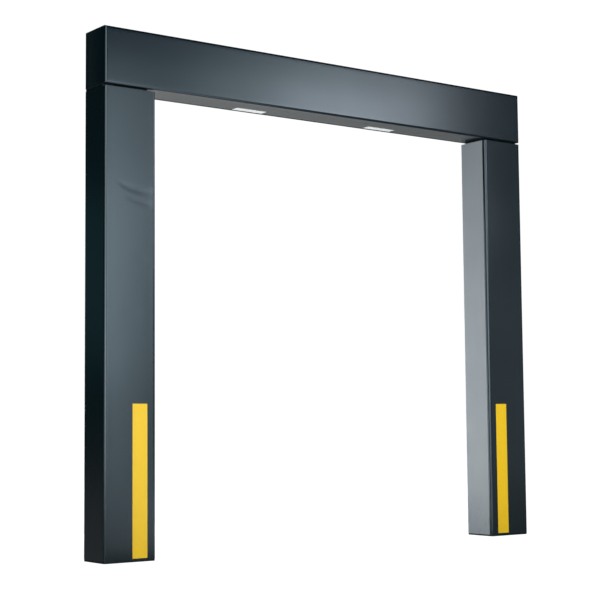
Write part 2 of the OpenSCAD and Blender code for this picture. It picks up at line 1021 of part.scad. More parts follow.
module reader_module() {
    y = [equip_t / 2, equip_t / 2 + reader_d];
    reader_w = reader_u[1] - reader_u[0];
    fin_pitch = (reader_w - 2 * fin_margin[0]) / (reader_fins - 1);
    port_pitch = reader_w / (reader_port_n + 1);
    color(STEEL) on_side(RIGHT) {
        span_box(u_span(reader_u[0], reader_u[1]), y, reader_z);
        for (u = [for (i = [0:reader_fins - 1]) reader_u[0] + fin_margin[0] + i * fin_pitch])
            span_box(
                u_span(u - fin_t / 2, u + fin_t / 2),
                [y[1], y[1] + fin_h],
                [reader_z[0] + fin_margin[1], reader_z[1] - fin_margin[2]]
            );
        for (i = [1:reader_port_n]) {
            port_x = ux(reader_u[0] + i * port_pitch);
            translate([port_x, y[0] + reader_port_y, reader_z[0] - reader_port_l])
                cylinder(h = reader_port_l, r = reader_port_r);
        }
    }
}

// Quarter bend of the trunk cable, from -Z travel into +X travel
module trunk_elbow() {
    rotate([90, 0, 0]) rotate_extrude(angle = 90)
        translate([trunk_bend, 0]) circle(d = trunk_d);
}

// Half of the trunk cable: from the equipment, up the column and to mid-beam
module trunk_half(start_z) {
    x = ux(trunk_u);
    cross_l = trunk_start_y - trunk_y - 2 * trunk_bend;
    translate([x, trunk_start_y, start_z])
        cylinder(h = trunk_cross_z - trunk_bend - start_z, d = trunk_d);
    translate([x, trunk_start_y - trunk_bend, trunk_cross_z - trunk_bend])
        rotate([0, 0, 90]) trunk_elbow();
    bar_y(x, trunk_cross_z, [trunk_y + trunk_bend, trunk_y + trunk_bend + cross_l], trunk_d / 2);
    translate([x, trunk_y + trunk_bend, trunk_cross_z + trunk_bend])
        rotate([0, 0, 90]) rotate([0, 180, 0]) trunk_elbow();
    translate([x, trunk_y, trunk_cross_z + trunk_bend])
        cylinder(h = trunk_beam_z - trunk_cross_z - 2 * trunk_bend, d = trunk_d);
    translate([x - trunk_bend, trunk_y, trunk_beam_z - trunk_bend])
        trunk_elbow();
    translate([0, trunk_y, trunk_beam_z])
        rotate([0, 90, 0]) cylinder(h = x - trunk_bend, d = trunk_d);
}

// Power and data cable that runs from the left column through the beam to the right one
module trunk_cable() {
    color(BLACK) {
        on_side(LEFT) trunk_half(terminal_z[1]);
        on_side(RIGHT) trunk_half(reader_z[1]);
    }
}

// ------------------------------------------------------------------- nodes

base_plate(LEFT);  // left_base_plate
base_plate(RIGHT);  // right_base_plate
front_upright(LEFT);  // left_front_upright
front_upright(RIGHT);  // right_front_upright
rear_upright(LEFT);  // left_rear_upright
rear_upright(RIGHT);  // right_rear_upright
cross_rails(LEFT);  // left_cross_rails
cross_rails(RIGHT);  // right_cross_rails
top_plate(LEFT);  // left_top_plate
top_plate(RIGHT);  // right_top_plate
casing(LEFT);  // left_casing
casing(RIGHT);  // right_casing
antenna_cover(LEFT);  // left_antenna_cover
antenna_cover(RIGHT);  // right_antenna_cover
rear_panel(LEFT);  // left_rear_panel
rear_panel(RIGHT);  // right_rear_panel
service_door(LEFT);  // left_service_door
service_door(RIGHT);  // right_service_door
hinge_leaves(LEFT);  // left_hinge_leaves
hinge_leaves(RIGHT);  // right_hinge_leaves
hinge_pins(LEFT);  // left_hinge_pins
hinge_pins(RIGHT);  // right_hinge_pins
lock_housing(LEFT);  // left_lock_housing
lock_housing(RIGHT);  // right_lock_housing
lock_cam(LEFT);  // left_lock_cam
lock_cam(RIGHT);  // right_lock_cam
marker_strip(LEFT);  // left_marker_strip
marker_strip(RIGHT);  // right_marker_strip
upper_antenna(LEFT);  // left_upper_antenna
upper_antenna(RIGHT);  // right_upper_antenna
lower_antenna(LEFT);  // left_lower_antenna
lower_antenna(RIGHT);  // right_lower_antenna
neck(LEFT);  // left_neck
neck(RIGHT);  // right_neck
neck_bolts(LEFT);  // left_neck_bolts
neck_bolts(RIGHT);  // right_neck_bolts
panel_screws(LEFT);  // left_panel_screws
panel_screws(RIGHT);  // right_panel_screws
equipment_plate(LEFT);  // left_equipment_plate
equipment_plate(RIGHT);  // right_equipment_plate
lamp_lens(LEFT);  // left_lamp_lens
lamp_lens(RIGHT);  // right_lamp_lens
lamp_module(LEFT);  // left_lamp_module
lamp_module(RIGHT);  // right_lamp_module
cable_grommets();
beam_chassis();
beam_ribs();
beam_front_cover();
beam_rear_cover();
beam_underside();
beam_screws();
beam_antenna();
buzzer();
power_supply();
terminal_block();
isolator_body();
isolator_knob();
reader_module();
trunk_cable();
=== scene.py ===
"""Looks of the walk-through security gate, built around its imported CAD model.

Everything is in metres, in the model's own frame: +X right, -Y front, +Z up.
"""
import json
import math

import bmesh
import bpy
from mathutils import Matrix, Vector, noise


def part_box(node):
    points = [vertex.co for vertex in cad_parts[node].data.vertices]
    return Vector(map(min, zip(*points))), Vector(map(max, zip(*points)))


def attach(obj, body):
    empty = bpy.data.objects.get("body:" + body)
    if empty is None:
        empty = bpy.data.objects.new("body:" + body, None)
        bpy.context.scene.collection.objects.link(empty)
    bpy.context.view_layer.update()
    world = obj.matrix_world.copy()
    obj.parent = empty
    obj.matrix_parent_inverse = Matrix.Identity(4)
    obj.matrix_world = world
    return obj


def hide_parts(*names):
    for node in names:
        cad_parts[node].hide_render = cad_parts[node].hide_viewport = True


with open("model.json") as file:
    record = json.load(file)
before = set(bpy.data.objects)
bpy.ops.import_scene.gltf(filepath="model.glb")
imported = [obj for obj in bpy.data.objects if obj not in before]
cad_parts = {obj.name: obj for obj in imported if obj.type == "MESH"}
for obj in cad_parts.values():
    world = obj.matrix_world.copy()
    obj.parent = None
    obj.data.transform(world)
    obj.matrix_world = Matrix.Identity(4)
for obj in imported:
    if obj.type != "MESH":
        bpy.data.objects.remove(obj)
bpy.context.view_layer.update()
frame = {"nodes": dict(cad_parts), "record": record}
MM = 0.001
LEFT, RIGHT = -1, 1
SIDES = {"left": LEFT, "right": RIGHT}

# ---------------------------------------------------------------- sizes from the frame

casing_low, casing_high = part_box("right_casing")
cover_low, cover_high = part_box("beam_front_cover")
rear_low, rear_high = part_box("beam_rear_cover")
underside_low, underside_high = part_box("beam_underside")

HALF_W = casing_high.x
HALF_D = casing_high.y
COLUMN_W = casing_high.x - casing_low.x
COLUMN_TOP = casing_high.z
PANEL_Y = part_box("right_rear_panel")[1].y

# Sheet metal and mouldings: thicknesses, radii and gaps
SHEET = 2 * MM
COVER_T = 3 * MM
EDGE_R = 12 * MM
BEND_R = 2.5 * MM
SEAM = 2 * MM
FLANGE_U = EDGE_R + 12 * MM
FLANGE_Y = -HALF_D + EDGE_R + 6 * MM

# ---------------------------------------------------------------- mesh helpers

# Degrees between two faces from which their edge counts as sharp
SHARP_ANGLE = 35


def from_bmesh(name, bm):
    bmesh.ops.recalc_face_normals(bm, faces=bm.faces)
    mesh = bpy.data.meshes.new(name)
    bm.to_mesh(mesh)
    bm.free()
    obj = bpy.data.objects.new(name, mesh)
    bpy.context.scene.collection.objects.link(obj)
    return obj


def weigh_normals(obj):
    """Lets the large faces set the shading, so that they look flat."""
    weighted = obj.modifiers.new("weighted", "WEIGHTED_NORMAL")
    weighted.weight = 100
    return weighted


def smooth(obj):
    """Smooth shading, with flat faces kept flat and sharp edges kept sharp."""
    obj.data.shade_smooth()
    obj.data.set_sharp_from_angle(angle=math.radians(SHARP_ANGLE))
    weigh_normals(obj).keep_sharp = True


def bevel(obj, width, segments=2, angle=SHARP_ANGLE):
    modifier = obj.modifiers.new("bevel", "BEVEL")
    modifier.width = width
    modifier.segments = segments
    modifier.limit_method = "ANGLE"
    modifier.angle_limit = math.radians(angle)
    modifier.use_clamp_overlap = True
    return obj


def apply_modifiers(obj):
    bpy.context.view_layer.update()
    graph = bpy.context.evaluated_depsgraph_get()
    mesh = bpy.data.meshes.new_from_object(obj.evaluated_get(graph))
    obj.modifiers.clear()
    obj.data = mesh


def arc(centre, radius, start, end, steps):
    """Points of an arc between two angles in degrees."""
    points = []
    for i in range(steps + 1):
        a = math.radians(start + (end - start) * i / steps)
        points.append(Vector((centre[0] + radius * math.cos(a), centre[1] + radius * math.sin(a))))
    return points


def line(start, end, step):
    """Points strictly between two ends, no further apart than step."""
    a, b = Vector(start), Vector(end)
    count = max(1, math.ceil((b - a).length / step))
    return [a.lerp(b, i / count) for i in range(1, count)]


def spaced(start, end, step):
    """Numbers from start to end, no further apart than step."""
    count = max(1, math.ceil(abs(end - start) / step))
    return [start + (end - start) * i / count for i in range(count + 1)]


def offset_left(path, distance):
    """The path moved to its left-hand side."""
    moved = []
    for i, p in enumerate(path):
        before = (p - path[i - 1]).normalized() if i else (path[1] - p).normalized()
        after = (path[i + 1] - p).normalized() if i + 1 < len(path) else before
        tangent = (before + after).normalized()
        normal = Vector((-tangent.y, tangent.x))
        stretch = 1 / max(0.5, normal.dot(Vector((-before.y, before.x))))
        moved.append(p + normal * distance * stretch)
    return moved


def round_rectangle(low, high, inset, corner, steps):
    """Outline in the XZ plane of a box moved in by the inset, with round corners."""
    x0, x1 = low.x + inset + corner, high.x - inset - corner
    z0, z1 = low.z + inset + corner, high.z - inset - corner
    outline = []
    for cx, cz, start in ((x1, z1, 0), (x0, z1, 90), (x0, z0, 180), (x1, z0, 270)):
        outline += arc((cx, cz), corner, start, start + 90, steps)
    return outline


def bridge(bm, rings):
    """Joins each ring of vertices to the next with a band of faces."""
    for near, far in zip(rings, rings[1:]):
        for i in range(len(near)):
            j = (i + 1) % len(near)
            bm.faces.new((near[i], near[j], far[j], far[i]))


def folded_sheet(name, path, thickness, heights, place, dent=None):
    """A bent sheet that stands upright.

    The path is the sheet's outer face in plan, and the metal lies on the path's left.
    """
    loop = path + list(reversed(offset_left(path, thickness)))
    bm = bmesh.new()
    rings = []
    for z in heights:
        ring = []
        for p in loop:
            shift = dent(p, z) if dent else 0
            ring.append(bm.verts.new(place(p.x, p.y + shift, z)))
        rings.append(ring)
    bridge(bm, rings)
    last = len(loop) - 1
    for ring in (rings[0], rings[-1]):
        for i in range(len(path) - 1):
            bm.faces.new((ring[i], ring[i + 1], ring[last - 1 - i], ring[last - i]))
    return from_bmesh(name, bm)


def ease(value, low, high):
    """0 below low, 1 above high, and a smooth rise between them."""
    t = min(1.0, max(0.0, (value - low) / (high - low)))
    return t * t * (3 - 2 * t)


def plateau(value, start, full, fade, end):
    """1 between full and fade, 0 outside start and end, and smooth between them."""
    return ease(value, start, full) * (1 - ease(value, fade, end))


# ---------------------------------------------------------------- shader nodes

GRAIN_DEPTH = 0.02 * MM


def node_tree(name):
    material = bpy.data.materials.new(name)
    material.use_nodes = True
    tree = material.node_tree
    return material, tree, tree.nodes["Principled BSDF"]


def add(tree, kind, **values):
    """A new node. Each value goes to the input of that name, or else to the node's own setting."""
    node = tree.nodes.new(kind)
    for key, value in values.items():
        if key in node.inputs.keys():
            node.inputs[key].default_value = value
        else:
            setattr(node, key, value)
    return node


def coordinates(tree, scale=(1, 1, 1)):
    place = add(tree, "ShaderNodeTexCoord")
    mapping = add(tree, "ShaderNodeMapping", Scale=scale)
    tree.links.new(place.outputs["Object"], mapping.inputs["Vector"])
    return mapping.outputs["Vector"]


def noise_value(tree, scale, detail=3.0, stretch=(1, 1, 1), distortion=0.0):
    node = add(tree, "ShaderNodeTexNoise", Scale=scale, Detail=detail, Distortion=distortion)
    tree.links.new(coordinates(tree, stretch), node.inputs["Vector"])
    return node.outputs["Fac"]


def cell_node(tree, scale, **values):
    node = add(tree, "ShaderNodeTexVoronoi", Scale=scale, **values)
    tree.links.new(coordinates(tree), node.inputs["Vector"])
    return node


def remap(tree, value, low, high, to_low, to_high):
    node = add(tree, "ShaderNodeMapRange")
    node.inputs["From Min"].default_value = low
    node.inputs["From Max"].default_value = high
    node.inputs["To Min"].default_value = to_low
    node.inputs["To Max"].default_value = to_high
    tree.links.new(value, node.inputs["Value"])
    return node.outputs["Result"]


def near_floor(tree, reach, strength=1):
    """The strength at the floor, falling to 0 at the height of the reach."""
    place = add(tree, "ShaderNodeTexCoord")
    split = add(tree, "ShaderNodeSeparateXYZ")
    tree.links.new(place.outputs["Object"], split.inputs["Vector"])
    return remap(tree, split.outputs["Z"], 0.0, reach, strength, 0)


def mix_colour(tree, factor, a, b):
    node = add(tree, "ShaderNodeMix", data_type="RGBA")
    for socket, value in ((node.inputs[6], a), (node.inputs[7], b)):
        if isinstance(value, tuple):
            socket.default_value = (*value, 1)
        else:
            tree.links.new(value, socket)
    tree.links.new(factor, node.inputs[0])
    return node.outputs[2]


def clouded_colour(tree, tones, scale, detail=4.0, stretch=(1, 1, 1)):
    """Two tones in soft clouds."""
    clouds = noise_value(tree, scale, detail, stretch)
    return mix_colour(tree, remap(tree, clouds, 0.35, 0.65, 0, 1), *tones)


def calculate(tree, operation, a, b):
    node = add(tree, "ShaderNodeMath", operation=operation)
    for socket, value in zip(node.inputs, (a, b)):
        if isinstance(value, (int, float)):
            socket.default_value = value
        else:
            tree.links.new(value, socket)
    return node.outputs[0]


def set_roughness(tree, shader, value, low, high, roughness):
    rough = remap(tree, value, low, high, *roughness)
    tree.links.new(rough, shader.inputs["Roughness"])


def add_bump(tree, shader, height, strength, depth=GRAIN_DEPTH):
    node = add(tree, "ShaderNodeBump", Strength=strength, Distance=depth)
    tree.links.new(height, node.inputs["Height"])
    tree.links.new(node.outputs["Normal"], shader.inputs["Normal"])


# ---------------------------------------------------------------- materials

def fine_finish(name, tones, roughness, metallic=0.0, cloud=6.0, stretch=(1, 1, 1), specular=0.5):
    """Two tones in soft clouds, an uneven roughness, and a fine surface grain."""
    material, tree, shader = node_tree(name)
    shader.inputs["Metallic"].default_value = metallic
    shader.inputs["Specular IOR Level"].default_value = specular
    colour = clouded_colour(tree, tones, cloud, 4.0, stretch)
    tree.links.new(colour, shader.inputs["Base Color"])
    blotches = noise_value(tree, cloud * 3.1, 3.0, stretch)
    set_roughness(tree, shader, blotches, 0.3, 0.7, roughness)
    add_bump(tree, shader, noise_value(tree, 900.0, 2.0, stretch), 0.5)
    return material


def powder_coat(name, tones, roughness):
    """Satin powder coat with a fine orange peel.

    It is paler near the floor in streaks, partly dust and partly a painted bounce of light from the
    floor, and paler along sharply curved edges.
    """
    material, tree, shader = node_tree(name)
    shader.inputs["IOR"].default_value = 1.5
    shader.inputs["Specular Tint"].default_value = (0.82, 0.91, 1.0, 1)
    colour = clouded_colour(tree, tones, 2.3)
    low_down = near_floor(tree, 0.45)
    streak_mask = remap(tree, noise_value(tree, 34.0, 6.0, (1, 1, 0.35), 1.2), 0.54, 0.72, 0, 1)
    # Paler near the floor in streaks: partly dust, partly painted bounce light from the floor
    dust_and_painted_bounce = calculate(tree, "MULTIPLY", calculate(tree, "MULTIPLY", low_down, streak_mask), 0.15)
    colour = mix_colour(tree, dust_and_painted_bounce, colour, (0.045, 0.045, 0.042))
    geometry = add(tree, "ShaderNodeNewGeometry")
    # Paler along sharply curved edges
    pale_edges = remap(tree, geometry.outputs["Pointiness"], 0.53, 0.62, 0, 0.25)
    colour = mix_colour(tree, pale_edges, colour, (0.06, 0.065, 0.07))
    tree.links.new(colour, shader.inputs["Base Color"])
    patches = remap(tree, noise_value(tree, 4.0, 2.0, (1, 1, 0.6)), 0.2, 0.8, *roughness)
    rough = calculate(tree, "ADD", patches, calculate(tree, "MULTIPLY", dust_and_painted_bounce, 0.3))
    tree.links.new(rough, shader.inputs["Roughness"])
    add_bump(tree, shader, noise_value(tree, 420.0, 2.0), 0.25)
    return material


def moulded_grey(name):
    """Pale grey moulded sheet with a fine leather-like grain, soft mottling, and painted shade in
    streaks near the floor.
    """
    material, tree, shader = node_tree(name)
    tones = ((0.255, 0.280, 0.305), (0.290, 0.312, 0.330))
    colour = clouded_colour(tree, tones, 3.0, stretch=(1, 1, 0.5))
    low_down = near_floor(tree, 0.25)
    streak_mask = remap(tree, noise_value(tree, 60.0, 5.0, (1, 1, 0.3), 1.0), 0.56, 0.7, 0, 1)
    # Painted shade: the panel is darker in streaks near the floor
    painted_floor_shade = calculate(tree, "MULTIPLY", calculate(tree, "MULTIPLY", low_down, streak_mask), 0.5)
    colour = mix_colour(tree, painted_floor_shade, colour, (0.12, 0.12, 0.12))
    tree.links.new(colour, shader.inputs["Base Color"])
    set_roughness(tree, shader, noise_value(tree, 9.0, 4.0), 0.3, 0.7, (0.40, 0.50))
    add_bump(tree, shader, cell_node(tree, 700.0).outputs["Distance"], 0.3, 1.5 * GRAIN_DEPTH)
    return material


def marker_film(name):
    """Yellow reflective film: hexagon-like cells under a satin face, darker towards the floor."""
    material, tree, shader = node_tree(name)
    shader.inputs["Specular IOR Level"].default_value = 0.3
    shader.inputs["Coat Weight"].default_value = 0.08
    shader.inputs["Coat Roughness"].default_value = 0.2
    cells = cell_node(tree, 330.0, feature="DISTANCE_TO_EDGE", Randomness=0.25)
    rims = remap(tree, cells.outputs["Distance"], 0.0, 0.12, 1, 0)
    colour = mix_colour(tree, rims, (0.98, 0.595, 0.009), (0.88, 0.515, 0.008))
    blotches = remap(tree, noise_value(tree, 18.0, 5.0), 0.4, 0.7, 0.4, 1)
    # Darker towards the floor, in blotches
    floor_darkening = calculate(tree, "MULTIPLY", near_floor(tree, 0.6, 0.30), blotches)
    colour = mix_colour(tree, floor_darkening, colour, (0.70, 0.40, 0.018))
    tree.links.new(colour, shader.inputs["Base Color"])
    set_roughness(tree, shader, noise_value(tree, 12.0, 3.0), 0.3, 0.7, (0.34, 0.44))
    add_bump(tree, shader, rims, 0.2)
    return material


def opal_lens(name):
    """Frosted opal plastic, lit softly from behind."""
    material, tree, shader = node_tree(name)
    colour = clouded_colour(tree, ((0.80, 0.81, 0.82), (0.86, 0.87, 0.87)), 14.0, 3.0)
    tree.links.new(colour, shader.inputs["Base Color"])
    set_roughness(tree, shader, noise_value(tree, 40.0, 3.0), 0.3, 0.7, (0.38, 0.48))
    shader.inputs["Emission Color"].default_value = (0.97, 0.985, 1.0, 1)
    shader.inputs["Emission Strength"].default_value = 0.06
    add_bump(tree, shader, noise_value(tree, 900.0, 2.0), 0.3)
    return material


def zinc_plate(name, tones, roughness, spangle):
    """Zinc-plated or galvanised steel with crystal-like patches."""
    material, tree, shader = node_tree(name)
    shader.inputs["Metallic"].default_value = 1.0
    grey = add(tree, "ShaderNodeRGBToBW")
    tree.links.new(cell_node(tree, spangle).outputs["Color"], grey.inputs["Color"])
    shade = grey.outputs["Val"]
    tree.links.new(mix_colour(tree, shade, *tones), shader.inputs["Base Color"])
    set_roughness(tree, shader, shade, 0, 1, roughness)
    add_bump(tree, shader, noise_value(tree, 500.0, 3.0), 0.3)
    return material


def grey_pair(dark, light):
    """Two neutral tones."""
    return (dark, dark, dark), (light, light, light)


COLUMN_TONES = ((0.0016, 0.0066, 0.0095), (0.0028, 0.0082, 0.0115))
BEAM_TONES = ((0.0005, 0.0050, 0.0090), (0.0010, 0.0062, 0.0105))
ZINC_TONES = ((0.38, 0.40, 0.42), (0.56, 0.58, 0.60))
BRIGHT_TONES = ((0.58, 0.58, 0.57), (0.66, 0.66, 0.65))
BLACK_STEEL_TONES = ((0.002, 0.004, 0.006), (0.004, 0.007, 0.010))
SCREW_TONES = ((0.010, 0.010, 0.011), (0.020, 0.020, 0.021))
RADOME_TONES = ((0.62, 0.61, 0.57), (0.70, 0.69, 0.65))
LAMP_TONES = ((0.60, 0.61, 0.62), (0.70, 0.71, 0.72))
PLASTIC_TONES = ((0.012, 0.012, 0.013), (0.020, 0.020, 0.021))
SUPPLY_TONES = ((0.44, 0.45, 0.46), (0.54, 0.55, 0.56))
TERMINAL_TONES = ((0.24, 0.25, 0.26), (0.30, 0.31, 0.32))
RED_TONES = ((0.50, 0.022, 0.016), (0.60, 0.035, 0.022))
READER_TONES = ((0.46, 0.47, 0.49), (0.56, 0.57, 0.59))
CABLE_TONES = ((0.010, 0.010, 0.011), (0.018, 0.018, 0.019))

MATERIALS = {
    "column_paint": powder_coat("column_paint", COLUMN_TONES, (0.20, 0.23)),
    "beam_paint": powder_coat("beam_paint", BEAM_TONES, (0.21, 0.24)),
    "antenna_cover": moulded_grey("antenna_cover"),
    "marker_yellow": marker_film("marker_yellow"),
    "lamp_lens": opal_lens("lamp_lens"),
    "zinc_steel": zinc_plate("zinc_steel", ZINC_TONES, (0.32, 0.48), 60.0),
    "bright_steel": zinc_plate("bright_steel", BRIGHT_TONES, (0.20, 0.30), 400.0),
    "black_steel": fine_finish("black_steel", BLACK_STEEL_TONES, (0.38, 0.5), specular=0.2),
    "black_screws": fine_finish("black_screws", SCREW_TONES, (0.28, 0.4), metallic=0.6, cloud=80.0),
    "radome_white": fine_finish("radome_white", RADOME_TONES, (0.42, 0.52)),
    "lamp_module": fine_finish("lamp_module", LAMP_TONES, (0.3, 0.4)),
    "black_rubber": fine_finish("black_rubber", grey_pair(0.010, 0.018), (0.6, 0.75), cloud=40.0),
    "black_plastic": fine_finish("black_plastic", PLASTIC_TONES, (0.4, 0.5)),
    "supply_case": fine_finish(
        "supply_case", SUPPLY_TONES, (0.30, 0.42), metallic=1.0, cloud=30.0, stretch=(1, 1, 14)
    ),
    "terminal_grey": fine_finish("terminal_grey", TERMINAL_TONES, (0.42, 0.52)),
    "switch_red": fine_finish("switch_red", RED_TONES, (0.34, 0.44)),
    "reader_alloy": fine_finish(
        "reader_alloy", READER_TONES, (0.34, 0.46), metallic=1.0, cloud=25.0
    ),
    "cable_black": fine_finish("cable_black", CABLE_TONES, (0.45, 0.58), cloud=20.0),
}


def paint(obj, slot_name):
    obj.data.materials.clear()
    obj.data.materials.append(MATERIALS[slot_name])


def piece(obj, slot_name, node):
    """Paints a new piece, makes it ride on the root body, and lets it stand for a CAD node."""
    paint(obj, slot_name)
    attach(obj, "root")
    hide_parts(node)


# ---------------------------------------------------------------- columns
# A column's plan is drawn in u, the distance in from its outer face, and y.

# Longest faces: along a plain stretch of sheet, across and up the dented front, and up the cover
SHEET_STEP = 15 * MM
DENT_STEP_U = 6 * MM
DENT_STEP_Z = 8 * MM
COVER_STEP_Z = 40 * MM
# Steps in a round edge of the column, and in a tight bend
EDGE_STEPS = 10
BEND_STEPS = 5

# Soft dents in the left column's front sheet: start and end (u, z), bow, half widths, slope
LEFT_CREASES = (
    ((0.062, 1.672), (0.240, 1.640), -0.013, (6 * MM, 22 * MM), 0.085),
    ((0.110, 1.606), (0.245, 1.584), -0.005, (6 * MM, 16 * MM), 0.075),
    ((0.070, 1.855), (0.215, 1.830), 0.000, (10 * MM, 12 * MM), 0.016),
    ((0.150, 1.340), (0.215, 1.322), 0.004, (8 * MM, 14 * MM), 0.022),
    ((0.060, 1.275), (0.220, 1.268), 0.000, (10 * MM, 12 * MM), 0.012),
    ((0.085, 1.090), (0.190, 1.082), 0.003, (12 * MM, 16 * MM), 0.016),
)


def on_side(side):
    """Turns a place in a column's plan, at a height, into a place in the frame."""
    return lambda u, y, z: (side * (HALF_W - u), y, z)


def casing_path():
    """Outer face of the casing in plan, from the rear flange's leg round to the passage-side flange."""
    w, d, r, b = COLUMN_W, HALF_D, EDGE_R, BEND_R
    path = [Vector((FLANGE_U, PANEL_Y))]
    path += arc((FLANGE_U - b, d - b), b, 0, 90, BEND_STEPS)
    path += arc((r, d - r), r, 90, 180, EDGE_STEPS)
    path += line((0, d - r), (0, -d + r), SHEET_STEP)
    path += arc((r, -d + r), r, 180, 270, EDGE_STEPS)
    path += line((r, -d), (w - r, -d), DENT_STEP_U)
    path += arc((w - r, -d + r), r, 270, 360, EDGE_STEPS)
    path.append(Vector((w, FLANGE_Y)))
    return path


def crease(u, z, start, end, bow, widths, slope):
    """Depth of a soft dent between two points (u, z): its half width and depth grow along its way."""
    along = Vector(end) - Vector(start)
    t = (Vector((u, z)) - Vector(start)).dot(along) / along.length_squared
    fade = plateau(t, -0.1, 0.25, 0.6, 1.15)
    if not fade:
        return 0
    across = Vector((-along.y, along.x)).normalized()
    centre = Vector(start) + along * t
    centre += across * bow * (1 - (2 * t - 1) ** 2)
    width = widths[0] + (widths[1] - widths[0]) * min(1.0, max(0.0, t))
    distance = (Vector((u, z)) - centre).dot(across) / width
    return slope * width * fade * math.exp(-distance * distance)


def front_dent(side, creases):
    """Oil-canning of the front sheet: slow waves and a few soft dents, held flat at its edges."""
    wave = 0.10 * MM
    w, r, top = COLUMN_W, EDGE_R, COLUMN_TOP

    def dent(p, z):
        if p.y > -HALF_D + r / 2:
            return 0
        u = p.x
        hold = plateau(u, r, 3.5 * r, w - 2.5 * r, w - r)
        hold *= plateau(z, 0.01, 0.10, top - 0.08, top - 0.01)
        waves = wave * noise.noise(Vector((7 * u, side * 3.1, 2.6 * z)))
        folds = sum(crease(u, z, *c) for c in creases)
        return (waves + folds + wave) * hold

    return dent


def casing(name, side):
    creases = LEFT_CREASES if side == LEFT else ()
    heights = spaced(casing_low.z, COLUMN_TOP, DENT_STEP_Z)
    dent = front_dent(side, creases)
    obj = folded_sheet(f"{name}_casing_sheet", casing_path(), SHEET, heights, on_side(side), dent)
    smooth(bevel(obj, 0.3 * MM))
    piece(obj, "column_paint", f"{name}_casing")


def antenna_cover(name, side):
    """Moulded panel on the passage side, with a rounded rear edge and a return to the rear panel."""
    w, d, r, b = COLUMN_W, HALF_D, EDGE_R, BEND_R
    return_u = w - FLANGE_U
    path = [Vector((w, FLANGE_Y + SEAM))]
    path += line((w, FLANGE_Y + SEAM), (w, d - r), SHEET_STEP)
    path += arc((w - r, d - r), r, 0, 90, EDGE_STEPS)
    path += arc((return_u + b, d - b), b, 90, 180, BEND_STEPS)
    path.append(Vector((return_u, PANEL_Y)))
    heights = spaced(casing_low.z, COLUMN_TOP, COVER_STEP_Z)
    obj = folded_sheet(f"{name}_antenna_panel", path, COVER_T, heights, on_side(side))
    smooth(bevel(obj, 0.8 * MM, 3))
    piece(obj, "antenna_cover", f"{name}_antenna_cover")


def marker_strip(name):
    """Thin film on the column's front, with round corners and softened edges."""
    low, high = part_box(f"{name}_marker_strip")
    outline = round_rectangle(low, high, 0, 2.5 * MM, 6)
    bm = bmesh.new()
    rings = [[bm.verts.new((p.x, y, p.y)) for p in outline] for y in (low.y, high.y)]
    bridge(bm, rings)
    for ring in rings:
        bm.faces.new(ring)
    obj = from_bmesh(f"{name}_marker_film", bm)
    smooth(bevel(obj, 0.15 * MM))
    piece(obj, "marker_yellow", f"{name}_marker_strip")


for column, column_side in SIDES.items():
    casing(column, column_side)
    antenna_cover(column, column_side)
    marker_strip(column)

# ---------------------------------------------------------------- beam covers

BEAM_LOW = Vector((cover_low.x, cover_low.y, cover_low.z))
BEAM_HIGH = Vector((cover_high.x, rear_high.y, cover_high.z))
# Steps in the round edges, radius of the tight corners, and the gap round the underside panel
BEAM_EDGE_STEPS = 8
BEAM_CORNER = 2 * MM
PANEL_GAP = 2 * MM
# Longest faces of the covers, along X and along Z
GRID_X = 60 * MM
GRID_Z = 35 * MM
# Depth of the sheet's slow waves
BEAM_WAVE = 0.15 * MM
SCREW_HOLE_R = 5.3 * MM
SCREW_HOLE_DEPTH = 12 * MM


def beam_block():
    """Closed block in the beam's outline, with round edges at the front and the rear."""
    radius = EDGE_R
    near = []
    for i in range(BEAM_EDGE_STEPS, -1, -1):
        a = math.radians(90 * i / BEAM_EDGE_STEPS)
        near.append((BEAM_LOW.y + radius * (1 - math.sin(a)), radius * (1 - math.cos(a))))
    far = [(BEAM_LOW.y + BEAM_HIGH.y - y, inset) for y, inset in reversed(near)]
    bm = bmesh.new()
    rings = []
    for y, inset in near + far:
        outline = round_rectangle(BEAM_LOW, BEAM_HIGH, inset, BEAM_CORNER, 4)
        rings.append([bm.verts.new((p.x, y, p.y)) for p in outline])
    bridge(bm, rings)
    bm.faces.new(rings[0])
    bm.faces.new(rings[-1])
    bmesh.ops.recalc_face_normals(bm, faces=bm.faces)
    return bm


def cut(bm, point, normal, keep_all=False):
    """Cuts the mesh along a plane, and drops what lies on the normal's side unless keep_all is set."""
    bmesh.ops.bisect_plane(
        bm, geom=bm.verts[:] + bm.edges[:] + bm.faces[:], dist=1e-7,
        plane_co=point, plane_no=normal, clear_outer=not keep_all,
    )


def open_underside(bm):
    """Divides the block into a grid, and takes away its faces over the underside panel."""
    low, high, round_off = BEAM_LOW, BEAM_HIGH, 2 * EDGE_R
    hole_x = (underside_low.x - PANEL_GAP, underside_high.x + PANEL_GAP)
    hole_y = (underside_low.y - PANEL_GAP, underside_high.y + PANEL_GAP)
    for x in (*hole_x, *spaced(low.x + round_off, high.x - round_off, GRID_X)):
        cut(bm, (x, 0, 0), (1, 0, 0), keep_all=True)
    for y in hole_y:
        cut(bm, (0, y, 0), (0, 1, 0), keep_all=True)
    for z in spaced(low.z + round_off, high.z - round_off, GRID_Z):
        cut(bm, (0, 0, z), (0, 0, 1), keep_all=True)
    below = []
    for face in bm.faces:
        c = face.calc_center_median()
        inside = hole_x[0] < c.x < hole_x[1] and hole_y[0] < c.y < hole_y[1]
        if inside and c.z < low.z + 0.1 * MM:
            below.append(face)
    bmesh.ops.delete(bm, geom=below, context="FACES")


